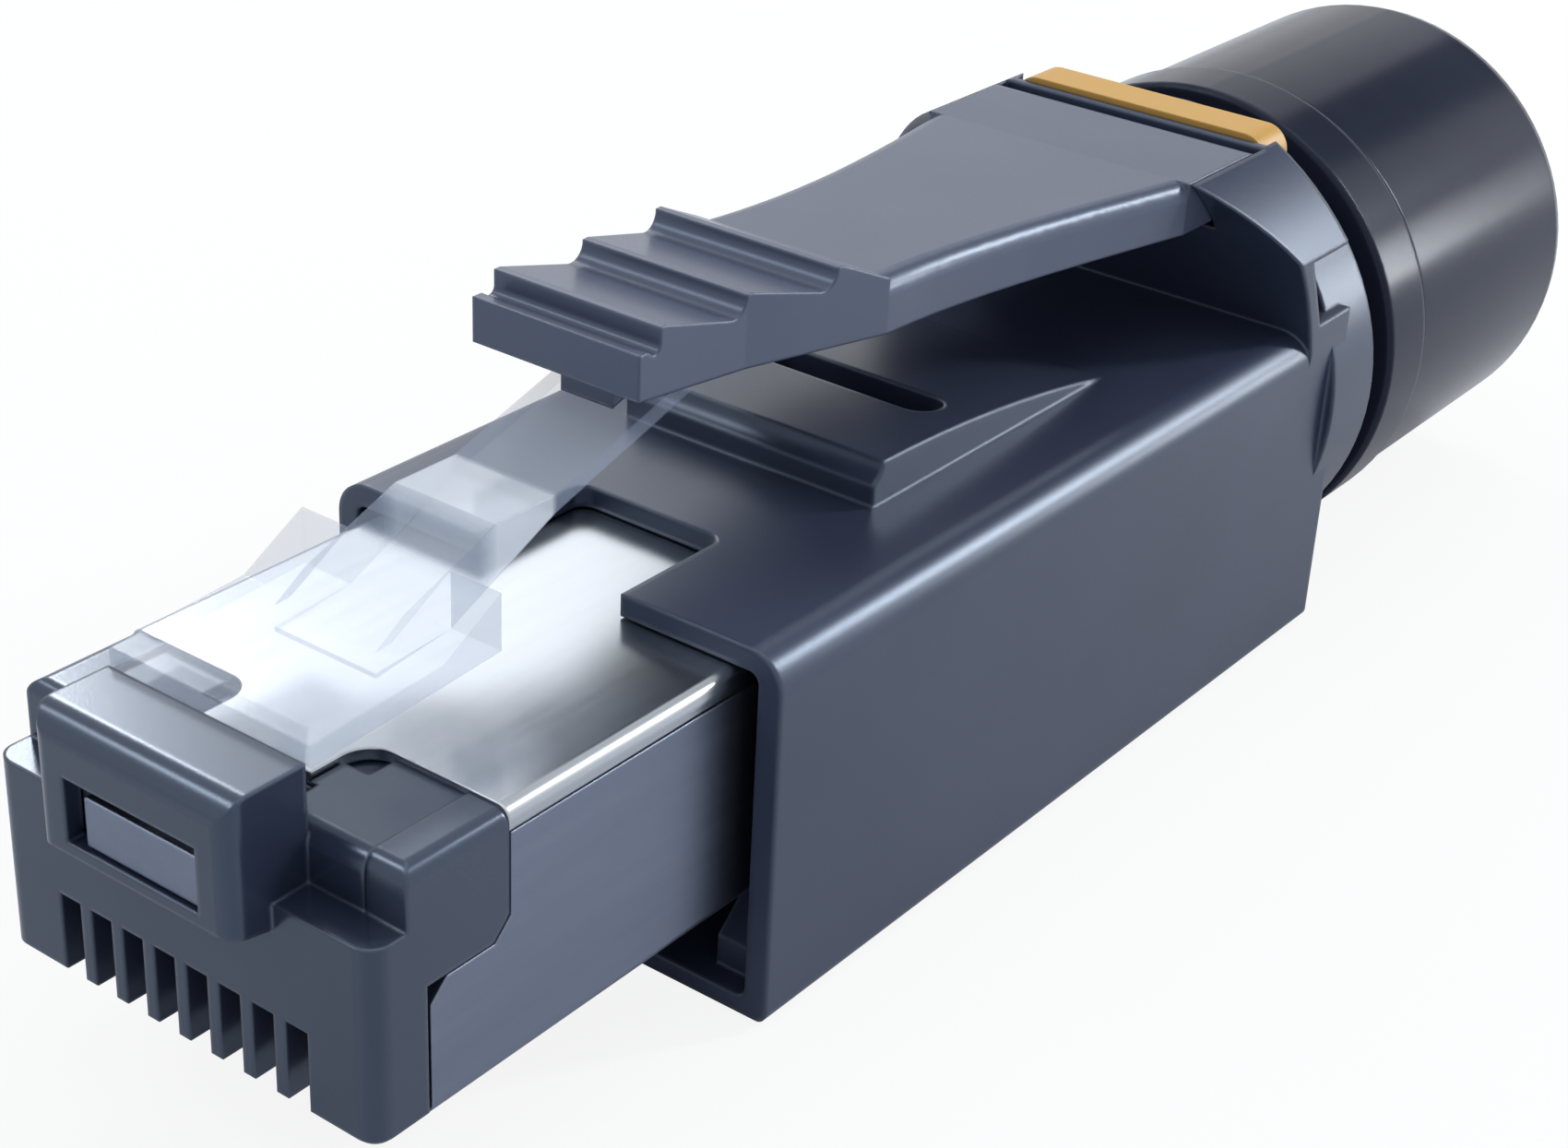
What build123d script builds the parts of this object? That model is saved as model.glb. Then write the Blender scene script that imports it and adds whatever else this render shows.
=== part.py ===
from build123d import *
from math import radians, sqrt, tan
import os

# Field-wired, shielded RJ45 plug with a gland nut, in millimetres.
# X runs across the plug, +Y from the contact nose to the cable end, +Z up, latch on top.
# The origin is under the middle of the plug, on the surface that it lies on.
# Lengths along the plug are counted from the nose face, heights from the underside of the nose.

# Contact nose, after the modular plug standard
nose_width = 11.68
slab_height = 5.06
slab_depth = 1.6
slab_foot_chamfer = 0.15
nose_corner_radius = 0.53
contact_count = 8
contact_pitch = 1.02
slot_width = 0.68
slot_height = 2.2
slot_depth = 6.2
rib_chamfer = 0.12
carrier_length = 13.2

# Key block over the contacts, with the latch window in its face
key_width = 6.0
key_reach = 1.12
key_rear = 1.1
key_top = 7.94
key_top_radius = 0.65
key_edge_radius = 0.45
key_foot_front = 4.62
key_foot_rear = 4.4
window_width = 4.06
window_sill = 4.93
window_lintel = 6.56
window_wall = 0.47
key_roof = 0.72

# Sheet plate behind the window, held in grooves of the cheeks
plate_top = 6.04
plate_lap = 0.22
plate_edge_radius = 0.13

# Shoulders and deck beside the key block
shoulder_width = 1.14
shoulder_front = 1.05
shoulder_rear = 4.12
shoulder_foot = 3.45
shoulder_radius = 0.38
shoulder_groove = 0.07
deck_drop = 0.1
deck_radius = 0.45

# Contact blades and their terminals
contact_thickness = 0.35
blade_front = 1.0
blade_top = 1.75
blade_recess = 0.5
lead_height = 0.45
lead_level = 3.0
riser_width = 0.6
slot_clearance = 0.05
fork_station = 17.4
fork_width = 1.6
fork_mouth = 0.36
fork_mouth_depth = 1.4
fork_margin = 0.45

# Sheet shields
sheet = 0.3
shield_top = 6.6
shield_rear = 24.0
shield_roll_radius = 0.36
shield_flange = 0.26
shield_fold_radius = 0.27
shield_side_front = 1.7
shield_corner_cut = 0.5
shield_floor_front = 7.6
tongue_width = 3.5
tongue_front = 2.4
tongue_radius = 0.75

# Terminal block, wire caps and the spring that carries the cable's braid
block_length = 13.8
block_wall = 0.9
block_web = 1.35
wire_groove_radius = 0.48
wire_groove_sides = 8
grip_groove_width = 0.5
grip_groove_depth = 0.35
grip_groove_count = 3
grip_groove_pitch = 2.0
spring_sheet = 0.25
spring_lap = 2.0
spring_arm_low = 1.2
spring_arm_high = 4.8
spring_plate_low = 0.5
spring_plate_high = 6.0
braid_radius = 2.9
braid_length = 2.6

# Clear latch
latch_width = 6.1
latch_root_width = 3.9
latch_plate = 0.52
latch_front = 1.2
latch_plate_front_z = 7.8
latch_plate_rear_z = 8.12
latch_barb_y = 6.93
latch_barb_front = 4.7
latch_barb_top = 9.56
latch_wedge_width = 3.1
latch_wedge_front = 4.58
latch_step_y = 5.54
latch_step_z = 9.1
latch_land_front = 8.4
latch_land_rear = 10.34
latch_land_z = 10.15
latch_tail_end = 15.2
latch_tail_z = 11.6
latch_tail_thickness = 0.48
latch_axis_y = 0.6
latch_axis_z = 5.85
latch_boss_radius = 0.5
trunnion_radius = 0.4
trunnion_lap = 0.5

# Housing sleeve
housing_front = 11.9
housing_length = 27.4
housing_width = 14.08
housing_height = 10.13
nose_lift = 2.9
ring_drop = 0.15
housing_edge_radius = 0.98
housing_foot_radius = 0.3
side_wall = 0.66
floor_wall = 0.5
cavity_clearance = 0.05
cavity_length = 18.8
rail_width = 1.4
rail_ramp_front = 0.7
rail_ramp_length = 1.6
rail_ramp_height = 1.5
u_notch_width = 4.5
u_notch_length = 3.8
u_notch_radius = 0.42

# Raised deck of the sleeve, falling away to the back, with a ledge and a hollow at its front
raised_setback = 7.6
raised_runout = 8.9
raised_width = 8.0
raised_rise = 1.15
raised_ledge = 0.62
raised_hollow = 0.4
raised_hollow_depth = 0.08
raised_bulge = 0.25
raised_slot_setback = 4.3
raised_slot_length = 6.0
raised_slot_width = 1.4

# Collar and neck at the cable end
collar_radius = 8.9
collar_rise = 7.75
collar_length = 5.8
collar_step = 0.85
collar_foot_length = 2.2
collar_foot_rise = 2.26
collar_hollow = 0.55
collar_window_front = 2.87
collar_window_lean = 0.98
collar_window_low = 3.1
collar_window_high = 5.32
collar_window_depth = 1.5
tunnel_radius = 3.6
neck_step = 0.1
neck_wall = 1.5
neck_length = 1.9
neck_chamfer = 0.25

# Release lever
lever_front_gap = 0.15
lever_head_length = 9.0
lever_head_width = 5.08
lever_neck_width = 6.1
lever_stand = 0.56
lever_front_height = 1.14
lever_lip_length = 0.31
lever_groove_depth = 0.35
lever_groove_radius = 0.2
lever_crease_height = 0.52
rib_setback = 0.74
rib_pitch = 3.15
rib_first_height = 1.61
rib_fall = 0.155
rib_height = 0.62
rib_land = 0.22
rib_count = 3
rib_foot_radius = 0.45
lever_waist_setback = 4.45
lever_waist_width = 6.3
lever_waist_rise = 0.3
lever_flare_setback = 3.1
lever_flare_width = 7.6
lever_flare_rise = 0.1
lever_edge_radius = 0.5
lever_thickness = 1.5
lever_axis_setback = 2.45
lever_clearance = 0.06
lever_press_angle = 7.0
lever_finger_width = 1.6
lever_finger_setback = 1.15
lever_finger_length = 1.1
lever_finger_gap = 0.08

# Colour clip
clip_length = 7.0
clip_width = 1.4
clip_thickness = 0.36
clip_proud = 0.15
clip_lap = 0.45
clip_bend_radius = 0.6
clip_leg_width = 0.6
clip_leg_depth = 0.7

# Gland: seal ring, body, cable seal, clamp cage, thrust ring and nut
ring_radius = 7.45
ring_length = 2.35
ring_chamfer = 0.12
seal_gap = 0.8
seal_section = 0.7
nut_gap = 0.12
nut_step = 0.15
nut_wall = 1.02
nut_length = 10.75
nut_back_round = 0.75
nut_end_wall = 1.9
spigot_length = 3.2
spigot_clearance = 0.05
thread_clearance = 0.08
thread_length = 6.2
thread_wall = 0.85
cable_bore = 4.6
cable_mouth_chamfer = 0.45
seal_pocket_wall = 0.5
seal_length = 4.6
seal_lip_height = 0.25
seal_lip_groove = 2.0
cage_flange = 0.65
cage_flange_step = 0.1
cage_finger_length = 1.14
cage_finger_wall = 0.85
cage_finger_count = 6
cage_slit = 0.5
cage_clearance = 0.15
thrust_length = 0.8
fit_gap = 0.06

# Stations along the plug
housing_rear = housing_front + housing_length
collar_front = housing_rear - collar_length
collar_rear = housing_rear - collar_step
neck_rear = housing_rear + neck_length
ring_front = neck_rear + seal_gap
ring_rear = ring_front + ring_length
nut_front = ring_rear + nut_gap
nut_rear = nut_front + nut_length
nose_y = (key_reach - nut_rear) / 2
raised_front = housing_front + raised_setback
raised_rear = housing_rear - raised_runout
lever_front = housing_front + lever_front_gap
lever_neck_front = lever_front + lever_head_length
lever_axis_y = housing_rear - lever_axis_setback

# Heights over the underside of the nose
housing_floor = -nose_lift
housing_top = housing_floor + housing_height
axis_height = ring_radius - ring_drop - nose_lift
collar_top = axis_height + collar_rise
nose_z = ring_drop + nose_lift

# Radii about the cable axis
neck_radius = ring_radius - neck_step
nut_radius = ring_radius - nut_step
thread_radius = nut_radius - nut_wall - thread_clearance
spigot_radius = neck_radius - neck_wall - spigot_clearance
seal_pocket_radius = thread_radius - thread_wall
cage_flange_radius = thread_radius - cage_flange_step
cage_bore = cable_bore + cage_clearance

# Working planes with their origin under the nose face
plan = Plane(origin=(0, nose_y, nose_z))
side = Plane(origin=(0, nose_y, nose_z), x_dir=(0, 1, 0), z_dir=(1, 0, 0))
face = Plane(origin=(0, nose_y, nose_z), x_dir=(1, 0, 0), z_dir=(0, -1, 0))
axial = Plane(origin=(0, nose_y, nose_z + axis_height), x_dir=(0, 1, 0), z_dir=(1, 0, 0))
cable_axis = Axis((0, nose_y, nose_z + axis_height), (0, 1, 0))

half_nose = nose_width / 2
half_housing = housing_width / 2
inner_width = nose_width - 2 * (sheet + fit_gap)
inner_top = shield_top - sheet - fit_gap
shoulder_top = shield_top - fit_gap
deck_top = shoulder_top - deck_drop
contact_x = [(i - (contact_count - 1) / 2) * contact_pitch for i in range(contact_count)]
insert_floor = sheet + fit_gap
blade_rear = slot_depth - fit_gap
lead_top = lead_level + lead_height
lead_slot = contact_thickness + 2 * slot_clearance
web_bottom = lead_level + lead_height / 2 - block_web / 2
web_top = web_bottom + block_web
block_front = carrier_length + fit_gap
block_rear = block_front + block_length
trunnion_half = window_width / 2 + trunnion_lap

# Contact carrier: slab with the slots, shoulders, deck and key block, moulded in one
plate_front = window_wall - key_reach + slot_clearance
with BuildPart() as contact_carrier:
    # Key block
    with BuildSketch(side):
        with BuildLine():
            Polyline(
                (key_rear, slab_height - key_top_radius), (key_rear, key_top), (-key_reach, key_top),
                (-key_reach, key_foot_front), (0, key_foot_rear), (slab_depth / 2, key_foot_rear), close=True)
        make_face()
        fillet(vertices().sort_by(Axis.X)[:2].sort_by(Axis.Y)[-1], key_top_radius)
    extrude(amount=key_width / 2, both=True)
    with BuildSketch(plan):
        with Locations((0, -key_reach)):
            Rectangle(key_width, key_reach + slab_depth, align=(Align.CENTER, Align.MIN))
        fillet(vertices().group_by(Axis.Y)[0], key_edge_radius)
    extrude(amount=key_top, mode=Mode.INTERSECT)
    # Slab, rounded at its corners and chamfered round its foot
    with BuildSketch(plan):
        Rectangle(nose_width, slab_depth, align=(Align.CENTER, Align.MIN))
        fillet(vertices().group_by(Axis.Y)[0], nose_corner_radius)
    extrude(amount=slab_height)
    foot_edges = edges().group_by(Axis.Z)[0].sort_by(Axis.Y)[:-1]
    chamfer(foot_edges, slab_foot_chamfer)
    # Body inside the shields
    with BuildSketch(side):
        with BuildLine():
            Polyline(
                (slab_depth, 0), (shield_floor_front, 0), (shield_floor_front, insert_floor),
                (carrier_length, insert_floor), (carrier_length, inner_top), (slab_depth, inner_top),
                close=True)
        make_face()
    extrude(amount=inner_width / 2, both=True)
    # Deck behind the slab, rounded at its front edge
    with BuildSketch(side):
        with Locations((shoulder_front, shoulder_foot)):
            Rectangle(shoulder_rear - shoulder_front, deck_top - shoulder_foot, align=Align.MIN)
        fillet(vertices().sort_by(Axis.X)[:2].sort_by(Axis.Y)[-1], deck_radius)
    extrude(amount=half_nose - shoulder_width - shoulder_groove, both=True)
    # Shoulder on each side, hanging over the side plates of the shield
    for hand in (-1, 1):
        with BuildSketch(side.offset(hand * half_nose)):
            with BuildLine():
                Polyline(
                    (shoulder_front, shoulder_foot), (shoulder_rear - shield_corner_cut, shoulder_foot),
                    (shoulder_rear, shoulder_foot + shield_corner_cut), (shoulder_rear, shoulder_top),
                    (shoulder_front, shoulder_top), close=True)
            make_face()
        extrude(amount=-hand * shoulder_width)
    top_edges = edges().filter_by_position(
        Axis.Z, nose_z + shoulder_top - deck_drop / 2, nose_z + shoulder_top + deck_drop / 2)
    outer_edges = top_edges.filter_by(lambda e: abs(e.center().X) > half_nose - fit_gap)
    front_edges = top_edges.filter_by(lambda e: e.center().Y < nose_y + shoulder_front + fit_gap)
    fillet(outer_edges + front_edges, shoulder_radius)
    # Window, and the room behind it in which the latch root rocks
    with BuildSketch(face.offset(key_reach)):
        with Locations((0, window_sill)):
            Rectangle(window_width, window_lintel - window_sill, align=(Align.CENTER, Align.MIN))
    extrude(amount=-(key_reach + key_rear), mode=Mode.SUBTRACT)
    with BuildSketch(face.offset(key_reach - window_wall)):
        with Locations((0, window_sill)):
            Rectangle(window_width, key_top - key_roof - window_sill, align=(Align.CENTER, Align.MIN))
    extrude(amount=-(key_reach - window_wall + key_rear), mode=Mode.SUBTRACT)
    with BuildSketch(plan.offset(window_sill)):
        with Locations((0, key_rear)):
            Rectangle(window_width, tongue_front - fit_gap - key_rear, align=(Align.CENTER, Align.MIN))
    extrude(amount=deck_top, mode=Mode.SUBTRACT)
    # Grooves of the sheet plate and holes of the latch's trunnions, in the cheeks beside the window
    with BuildSketch(plan.offset(window_sill)):
        with Locations((0, plate_front - slot_clearance)):
            Rectangle(
                window_width + 2 * (plate_lap + slot_clearance), sheet + 2 * slot_clearance,
                align=(Align.CENTER, Align.MIN))
    extrude(amount=plate_top - window_sill + slot_clearance, mode=Mode.SUBTRACT)
    with BuildSketch(side):
        with Locations((latch_axis_y, latch_axis_z)):
            Circle(trunnion_radius + slot_clearance)
    extrude(amount=trunnion_half + slot_clearance, both=True, mode=Mode.SUBTRACT)
    # Seat of the shield's tongue, widening where the tongue's corners are rounded
    with BuildSketch(plan.offset(inner_top)):
        with Locations((0, key_rear)):
            Rectangle(tongue_width + 2 * fit_gap, shoulder_rear - key_rear, align=(Align.CENTER, Align.MIN))
        with Locations((0, shoulder_rear)):
            Rectangle(
                tongue_width + 2 * (fit_gap + tongue_radius), tongue_radius + fit_gap,
                align=(Align.CENTER, Align.MAX))
    extrude(amount=deck_top, mode=Mode.SUBTRACT)
    # Contact slots, open to the front and below
    with BuildSketch(face):
        for x in contact_x:
            with Locations((x, 0)):
                Rectangle(slot_width, slot_height, align=(Align.CENTER, Align.MIN))
    extrude(amount=-slot_depth, mode=Mode.SUBTRACT)
    rib_edges = edges().filter_by(Axis.Y).group_by(Axis.Z)[0]
    chamfer(rib_edges.filter_by(lambda e: abs(e.center().X) < contact_x[-1] + slot_width), rib_chamfer)
    # Rising channels at the back of the slots, and the level channels of the leads
    with BuildSketch(plan):
        for x in contact_x:
            with Locations((x, slot_depth)):
                Rectangle(lead_slot, riser_width + 2 * fit_gap, align=(Align.CENTER, Align.MAX))
    extrude(amount=lead_top + slot_clearance, mode=Mode.SUBTRACT)
    with BuildSketch(face.offset(-slot_depth)):
        for x in contact_x:
            with Locations((x, lead_level - slot_clearance)):
                Rectangle(lead_slot, lead_height + 2 * slot_clearance, align=(Align.CENTER, Align.MIN))
    extrude(amount=-(carrier_length - slot_depth), mode=Mode.SUBTRACT)
contact_carrier.part.label = "contact_carrier"

# Key plate: folded strip of sheet that closes the window from inside
with BuildPart() as key_plate:
    with BuildSketch(side):
        with Locations((plate_front, window_sill + fit_gap)):
            Rectangle(sheet, plate_top - window_sill - fit_gap, align=Align.MIN)
        fillet(vertices().group_by(Axis.Y)[-1], plate_edge_radius)
    extrude(amount=window_width / 2 + plate_lap, both=True)
key_plate.part.label = "key_plate"

# Contacts: one stamped blade each, with its riser, lead and fork, pointing up and down by turns
contacts = []
for number, x in enumerate(contact_x, start=1):
    points_up = number % 2 == 0
    stem_end = web_top + fit_gap if points_up else web_bottom - fit_gap
    fork_tip = inner_top - fork_margin if points_up else insert_floor + fork_margin
    mouth_foot = fork_tip - fork_mouth_depth if points_up else fork_tip + fork_mouth_depth
    with BuildPart() as contact:
        with BuildSketch(side.offset(x)):
            with BuildLine():
                Polyline(
                    (blade_front, blade_recess), (blade_rear, blade_recess), (blade_rear, lead_level),
                    (fork_station, lead_level), (fork_station, lead_top),
                    (blade_rear - riser_width, lead_top), (blade_rear - riser_width, blade_top),
                    (blade_front, blade_top), close=True)
            make_face()
            with Locations((fork_station + contact_thickness / 2, (lead_level + stem_end) / 2)):
                Rectangle(contact_thickness, abs(stem_end - lead_level))
            with Locations((fork_station + contact_thickness / 2, (lead_top + stem_end) / 2)):
                Rectangle(contact_thickness, abs(stem_end - lead_top))
        extrude(amount=contact_thickness / 2, both=True)
        nose_edges = edges().filter_by(Axis.X).group_by(Axis.Y)[0]
        chamfer(nose_edges.sort_by(Axis.Z)[0], contact_thickness)
        with BuildSketch(face.offset(-fork_station)):
            with Locations((x, (stem_end + fork_tip) / 2)):
                Rectangle(fork_width, abs(fork_tip - stem_end))
            with Locations((x, (mouth_foot + fork_tip) / 2)):
                Rectangle(fork_mouth, fork_mouth_depth, mode=Mode.SUBTRACT)
        extrude(amount=-contact_thickness)
    contact.part.label = f"contact_{number}"
    contacts.append(contact)

# Upper shield: folded top plate with rolled sides and a tongue under the latch
with BuildPart() as upper_shield:
    with BuildSketch(face.offset(-shoulder_rear)):
        with Locations((0, shield_top - sheet - shield_flange)):
            Rectangle(nose_width, sheet + shield_flange, align=(Align.CENTER, Align.MIN))
        fillet(vertices().group_by(Axis.Y)[-1], shield_roll_radius)
        with Locations((0, shield_top - sheet - shield_flange)):
            Rectangle(
                nose_width - 2 * sheet, shield_flange, align=(Align.CENTER, Align.MIN), mode=Mode.SUBTRACT)
    extrude(amount=-(shield_rear - shoulder_rear))
    with BuildSketch(plan.offset(shield_top - sheet)):
        with Locations((0, tongue_front)):
            Rectangle(tongue_width, shoulder_rear - tongue_front, align=(Align.CENTER, Align.MIN))
    extrude(amount=sheet)
    inner_corners = edges().filter_by(Axis.Z).filter_by_position(
        Axis.Y, nose_y + shoulder_rear - fit_gap, nose_y + shoulder_rear + fit_gap)
    fillet(inner_corners.filter_by(lambda e: abs(e.center().X) < tongue_width), tongue_radius)
upper_shield.part.label = "upper_shield"

# Lower shield: folded trough, its side plates reaching forward under the shoulders
with BuildPart() as lower_shield:
    side_front = shoulder_rear + fit_gap
    cut_top = shoulder_foot - fit_gap
    side_top = shield_top - sheet - shield_flange - fit_gap
    with BuildSketch(side):
        with BuildLine():
            Polyline(
                (shield_side_front, 0), (shield_rear, 0), (shield_rear, side_top),
                (side_front, side_top), (side_front, cut_top + shield_corner_cut),
                (side_front - shield_corner_cut, cut_top),
                (shield_side_front + shield_corner_cut, cut_top),
                (shield_side_front, cut_top - shield_corner_cut), close=True)
        make_face()
    extrude(amount=half_nose, both=True)
    with BuildSketch(side):
        with Locations((0, 0)):
            Rectangle(shield_floor_front, shield_top, align=Align.MIN)
        with Locations((0, sheet)):
            Rectangle(shield_rear, shield_top, align=Align.MIN)
    extrude(amount=half_nose - sheet, both=True, mode=Mode.SUBTRACT)
    fold_edges = edges().filter_by(Axis.Y).group_by(Axis.Z)[0]
    fillet(fold_edges.sort_by(Axis.X)[0], shield_fold_radius)
    fold_edges = edges().filter_by(Axis.Y).group_by(Axis.Z)[0]
    fillet(fold_edges.sort_by(Axis.X)[-1], shield_fold_radius)
lower_shield.part.label = "lower_shield"

# Terminal block: front wall and a level web that carries the forks above and below it
with BuildPart() as terminal_block:
    with BuildSketch(face.offset(-block_front)):
        with Locations((0, insert_floor)):
            Rectangle(inner_width, inner_top - insert_floor, align=(Align.CENTER, Align.MIN))
    extrude(amount=-block_wall)
    with BuildSketch(face.offset(-block_front)):
        with Locations((0, web_bottom)):
            Rectangle(inner_width, block_web, align=(Align.CENTER, Align.MIN))
    extrude(amount=-block_length)
    fillet(edges().filter_by(Axis.X).group_by(Axis.Y)[-1], block_web / 3)
    # Channels of the leads, and the holes through which the forks stand out
    with BuildSketch(face.offset(-block_front)):
        for x in contact_x:
            with Locations((x, lead_level - slot_clearance)):
                Rectangle(lead_slot, lead_height + 2 * slot_clearance, align=(Align.CENTER, Align.MIN))
    fork_rear = fork_station + contact_thickness + slot_clearance
    extrude(amount=-(fork_rear - block_front), mode=Mode.SUBTRACT)
    for start, lift in ((0, -1), (1, 1)):
        with BuildSketch(plan.offset(lead_level + lead_height / 2)):
            for x in contact_x[start::2]:
                with Locations((x, fork_rear)):
                    Rectangle(lead_slot, lead_slot, align=(Align.CENTER, Align.MAX))
        extrude(amount=lift * block_web, mode=Mode.SUBTRACT)
terminal_block.part.label = "terminal_block"

# Wire caps: one above and one below the web, with a groove for each wire and a pocket for each fork
cap_front = block_front + block_wall + fit_gap
wire_caps = []
for name, lift, base, outer in (
        ("wire_cap_lower", -1, web_bottom - fit_gap, insert_floor),
        ("wire_cap_upper", 1, web_top + fit_gap, inner_top)):
    with BuildPart() as wire_cap:
        row_x = contact_x[1::2] if lift > 0 else contact_x[0::2]
        with BuildSketch(face.offset(-cap_front)):
            with Locations((0, (base + outer) / 2)):
                Rectangle(inner_width, abs(outer - base))
            for x in row_x:
                with Locations((x, base)):
                    RegularPolygon(
                        wire_groove_radius, wire_groove_sides, rotation=180 / wire_groove_sides,
                        mode=Mode.SUBTRACT)
        extrude(amount=-(block_rear - cap_front))
        with BuildSketch(plan.offset(base)):
            for x in row_x:
                with Locations((x, fork_station + contact_thickness / 2)):
                    Rectangle(fork_width + 2 * slot_clearance, lead_slot)
        pocket_depth = abs(outer - base) - fork_margin + slot_clearance
        extrude(amount=lift * pocket_depth, mode=Mode.SUBTRACT)
        with BuildSketch(plan.offset(outer)):
            for row in range(grip_groove_count):
                with Locations((0, block_rear - (row + 1) * grip_groove_pitch)):
                    Rectangle(inner_width / 2, grip_groove_width)
        extrude(amount=-lift * grip_groove_depth, mode=Mode.SUBTRACT)
    wire_cap.part.label = name
    wire_caps.append(wire_cap)

# Shield spring: folded sheet behind the caps, with an arm along each side plate and a braid collar
with BuildPart() as shield_spring:
    spring_front = block_rear + fit_gap
    spring_half = half_nose + fit_gap + spring_sheet
    spring_axis = web_bottom + block_web / 2
    with BuildSketch(plan.offset(spring_arm_low)):
        with Locations((0, spring_front)):
            Rectangle(2 * spring_half, spring_sheet, align=(Align.CENTER, Align.MIN))
        with Locations((-spring_half, shield_rear - spring_lap)):
            Rectangle(spring_sheet, spring_front + spring_sheet - shield_rear + spring_lap, align=Align.MIN)
        with Locations((spring_half, shield_rear - spring_lap)):
            Rectangle(
                spring_sheet, spring_front + spring_sheet - shield_rear + spring_lap,
                align=(Align.MAX, Align.MIN))
        fillet(vertices().group_by(Axis.Y)[-1], spring_sheet)
    extrude(amount=spring_arm_high - spring_arm_low)
    with BuildSketch(face.offset(-spring_front)):
        with Locations((0, spring_plate_low)):
            Rectangle(inner_width, spring_plate_high - spring_plate_low, align=(Align.CENTER, Align.MIN))
    extrude(amount=-spring_sheet)
    with BuildSketch(face.offset(-spring_front)):
        with Locations((0, spring_axis)):
            Circle(braid_radius)
    extrude(amount=-braid_length)
    with BuildSketch(face.offset(-spring_front)):
        with Locations((0, spring_axis)):
            Circle(braid_radius - spring_sheet)
    extrude(amount=-braid_length, mode=Mode.SUBTRACT)
shield_spring.part.label = "shield_spring"


def tail_top(y):
    """Height of the latch's tail at a station, for the lever's finger that bears on it."""
    rise = (latch_tail_z - latch_land_z) / (latch_tail_end - latch_land_rear)
    return latch_land_z + rise * (y - latch_land_rear)


# Latch: root in the key block, plate with two barbs, stepped wedge and tail, moulded in one
latch_plate_slope = (latch_plate_rear_z - latch_plate_front_z) / (latch_barb_y - latch_front)
wedge_foot_z = latch_plate_front_z + latch_plate + latch_plate_slope * (latch_wedge_front - latch_front)
with BuildPart() as latch:
    # Plate over the shield
    with BuildSketch(side):
        with BuildLine():
            Polyline(
                (latch_front, latch_plate_front_z), (latch_barb_y, latch_plate_rear_z),
                (latch_barb_y, latch_plate_rear_z + latch_plate),
                (latch_front, latch_plate_front_z + latch_plate), close=True)
        make_face()
    extrude(amount=latch_width / 2, both=True)
    # Barbs: a ramp on each side that ends in an upright catch face
    with BuildSketch(side):
        with BuildLine():
            Polyline(
                (latch_barb_front, latch_plate_front_z + latch_plate), (latch_barb_y, latch_plate_rear_z),
                (latch_barb_y, latch_barb_top), close=True)
        make_face()
    extrude(amount=latch_width / 2, both=True)
    # Stepped wedge and tail
    with BuildSketch(side) as latch_spine:
        with BuildLine():
            Polyline(
                (latch_wedge_front, wedge_foot_z), (latch_step_y, latch_step_z),
                (latch_land_front, latch_land_z), (latch_land_rear, latch_land_z),
                (latch_tail_end, latch_tail_z), (latch_tail_end, latch_tail_z - latch_tail_thickness),
                (latch_land_rear, latch_land_z - latch_tail_thickness),
                (latch_barb_y, latch_plate_rear_z), (latch_wedge_front, latch_plate_rear_z - latch_plate / 2),
                close=True)
        make_face()
    extrude(amount=latch_wedge_width / 2, both=True)
    # Root: riser behind the key block, with a boss and trunnions that turn in its cheeks
    with BuildSketch(side):
        with BuildLine():
            Polyline(
                (latch_axis_y, latch_axis_z - latch_boss_radius),
                (latch_front + latch_plate, latch_axis_z - latch_boss_radius),
                (latch_front + 2 * latch_plate, latch_plate_front_z + latch_plate / 2),
                (latch_front, latch_plate_front_z + latch_plate / 2),
                (latch_front, latch_axis_z + latch_boss_radius),
                (latch_axis_y, latch_axis_z + latch_boss_radius), close=True)
        make_face()
        with Locations((latch_axis_y, latch_axis_z)):
            Circle(latch_boss_radius)
    extrude(amount=latch_root_width / 2, both=True)
    with BuildSketch(side):
        with Locations((latch_axis_y, latch_axis_z)):
            Circle(trunnion_radius)
    extrude(amount=trunnion_half, both=True)
latch.part.label = "latch"

# Fits of the lever's knuckle and of the colour clip in the collar
knuckle_radius = lever_thickness / 2
seat_radius = knuckle_radius + lever_clearance
lever_axis_z = collar_top - knuckle_radius
root_half = sqrt(collar_radius ** 2 - collar_rise ** 2) - lever_clearance / 2
clip_front = collar_rear - clip_lap
clip_bottom = collar_top + clip_proud - clip_thickness
clip_leg_x = clip_length / 2 + clip_bend_radius
clip_half = clip_leg_x + clip_thickness / 2
clip_leg_y = collar_rear + fit_gap + clip_leg_width / 2
clip_leg_end = axis_height + sqrt(neck_radius ** 2 - clip_leg_x ** 2) - clip_leg_depth

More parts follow.
